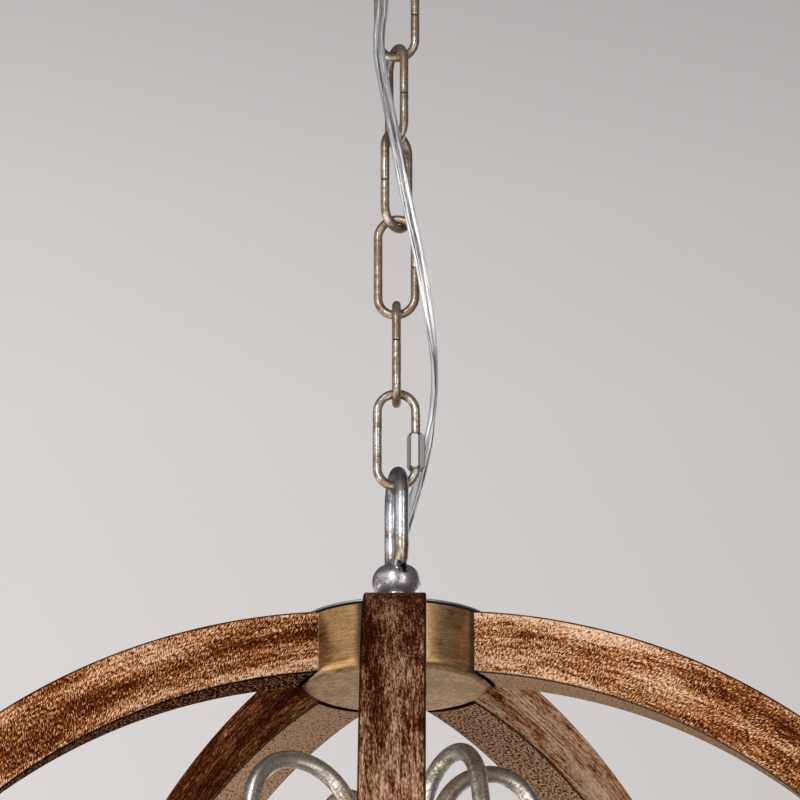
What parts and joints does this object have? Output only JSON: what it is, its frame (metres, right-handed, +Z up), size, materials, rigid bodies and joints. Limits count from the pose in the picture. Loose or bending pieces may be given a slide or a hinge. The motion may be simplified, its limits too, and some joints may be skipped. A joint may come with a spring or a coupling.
{
  "type": "caged pendant light",
  "caption": "Ceiling light hung on a chain: a globe cage of bent stained-wood ribs between metal hubs, around scroll arms with candle lamps.",
  "frame": {"origin": "centre of the ceiling fitting's screw pattern, on the ceiling plane", "axes": "+Z up to the ceiling, rib 1 faces -Y, +X to the right of a viewer who faces rib 1"},
  "size_m": [0.578, 0.5498, 1.0288],
  "materials": {
    "stained_wood": "distressed brown stain",
    "antique_silver": "antique silver with a gold rub",
    "antique_gold": "brushed antique gold",
    "lid_silver": "satin silver",
    "plain_steel": "zinc plated",
    "sleeve_ivory": "matt ivory",
    "holder_black": "moulded phenolic",
    "lamp_cap_brass": "plain",
    "lamp_glass": "clear",
    "wire_cover": "PVC",
    "clear_cord": "clear PVC over tinned strands"
  },
  "bodies": {
    "ceiling_fitting": {"ceiling_strap": "plain_steel", "strap_lock_nut": "plain_steel", "canopy_nipple": "plain_steel", "canopy": "antique_silver", "canopy_collar": "antique_silver", "canopy_loop": "antique_silver", "supply_cord": "clear_cord"},
    "link_1": {"chain_link_1": "antique_silver"},
    "link_2": {"chain_link_2": "antique_silver"},
    "link_3": {"chain_link_3": "antique_silver"},
    "link_4": {"chain_link_4": "antique_silver"},
    "link_5": {"chain_link_5": "antique_silver"},
    "screw_link": {"quick_link": "antique_silver"},
    "screw_link_nut": {"quick_link_nut": "antique_silver"},
    "fixture": {"hanging_loop": "antique_silver", "top_hub_lid": "lid_silver", "top_hub_cup": "antique_gold", "hub_nipple": "plain_steel", "hub_lock_nuts": "plain_steel", "centre_column": "antique_silver", "cluster_body": "antique_silver", "cluster_drop": "antique_silver", "rib_1": "stained_wood", "rib_2": "stained_wood", "rib_3": "stained_wood", "rib_4": "stained_wood", "rib_5": "stained_wood", "top_rib_screws": "plain_steel", "bottom_rib_screws": "plain_steel", "bottom_hub_cup": "antique_gold", "bottom_hub_lid": "lid_silver", "bottom_finial": "antique_silver", "finial_washer": "plain_steel", "finial_nut": "plain_steel", "arm_1": "antique_silver", "drip_cup_1": "antique_silver", "lamp_holder_1": "holder_black", "candle_sleeve_1": "sleeve_ivory", "arm_2": "antique_silver", "drip_cup_2": "antique_silver", "lamp_holder_2": "holder_black", "candle_sleeve_2": "sleeve_ivory", "arm_3": "antique_silver", "drip_cup_3": "antique_silver", "lamp_holder_3": "holder_black", "candle_sleeve_3": "sleeve_ivory", "arm_4": "antique_silver", "drip_cup_4": "antique_silver", "lamp_holder_4": "holder_black", "candle_sleeve_4": "sleeve_ivory", "cup_nuts": "antique_silver", "arm_wires": "wire_cover"},
    "lamp_1": {"bulb_cap_1": "lamp_cap_brass", "bulb_glass_1": "lamp_glass"},
    "lamp_2": {"bulb_cap_2": "lamp_cap_brass", "bulb_glass_2": "lamp_glass"},
    "lamp_3": {"bulb_cap_3": "lamp_cap_brass", "bulb_glass_3": "lamp_glass"},
    "lamp_4": {"bulb_cap_4": "lamp_cap_brass", "bulb_glass_4": "lamp_glass"}
  },
  "joints": [
    {"name": "canopy_loop_to_link_1", "type": "hinge", "parent": "ceiling_fitting", "child": "link_1", "pos_m": [0, 0, -0.0992], "axis": [0, 1, 0], "range_deg": [-30, 30], "deforming": ["supply_cord"]},
    {"name": "link_1_to_link_2", "type": "hinge", "parent": "link_1", "child": "link_2", "pos_m": [0, 0, -0.1391], "axis": [1, 0, 0], "range_deg": [-30, 30], "deforming": ["supply_cord"]},
    {"name": "link_2_to_link_3", "type": "hinge", "parent": "link_2", "child": "link_3", "pos_m": [0, 0, -0.18015], "axis": [0.4067, -0.9135, 0], "range_deg": [-30, 30], "deforming": ["supply_cord"]},
    {"name": "link_3_to_link_4", "type": "hinge", "parent": "link_3", "child": "link_4", "pos_m": [0, 0, -0.2212], "axis": [-0.6157, -0.788, 0], "range_deg": [-30, 30], "deforming": ["supply_cord"]},
    {"name": "link_4_to_link_5", "type": "hinge", "parent": "link_4", "child": "link_5", "pos_m": [0, 0, -0.26225], "axis": [-0.9903, 0.1392, 0], "range_deg": [-30, 30], "deforming": ["supply_cord"]},
    {"name": "link_5_to_screw_link", "type": "hinge", "parent": "link_5", "child": "screw_link", "pos_m": [0, 0, -0.3033], "axis": [0, 1, 0], "range_deg": [-30, 30], "deforming": ["supply_cord"]},
    {"name": "screw_link_to_fixture", "type": "hinge", "parent": "screw_link", "child": "fixture", "pos_m": [0, 0, -0.3419], "axis": [1, 0, 0], "range_deg": [-30, 30], "deforming": ["supply_cord"]},
    {"name": "sleeve_nut_travel", "type": "slide", "parent": "screw_link", "child": "screw_link_nut", "axis": [0, 0, 1], "range_m": [0, 0.0085]},
    {"name": "lamp_1_screws_out", "type": "slide", "parent": "fixture", "child": "lamp_1", "axis": [0, 0, 1], "range_m": [0, 0.027]},
    {"name": "lamp_2_screws_out", "type": "slide", "parent": "fixture", "child": "lamp_2", "axis": [0, 0, 1], "range_m": [0, 0.027]},
    {"name": "lamp_3_screws_out", "type": "slide", "parent": "fixture", "child": "lamp_3", "axis": [0, 0, 1], "range_m": [0, 0.027]},
    {"name": "lamp_4_screws_out", "type": "slide", "parent": "fixture", "child": "lamp_4", "axis": [0, 0, 1], "range_m": [0, 0.027]}
  ]
}
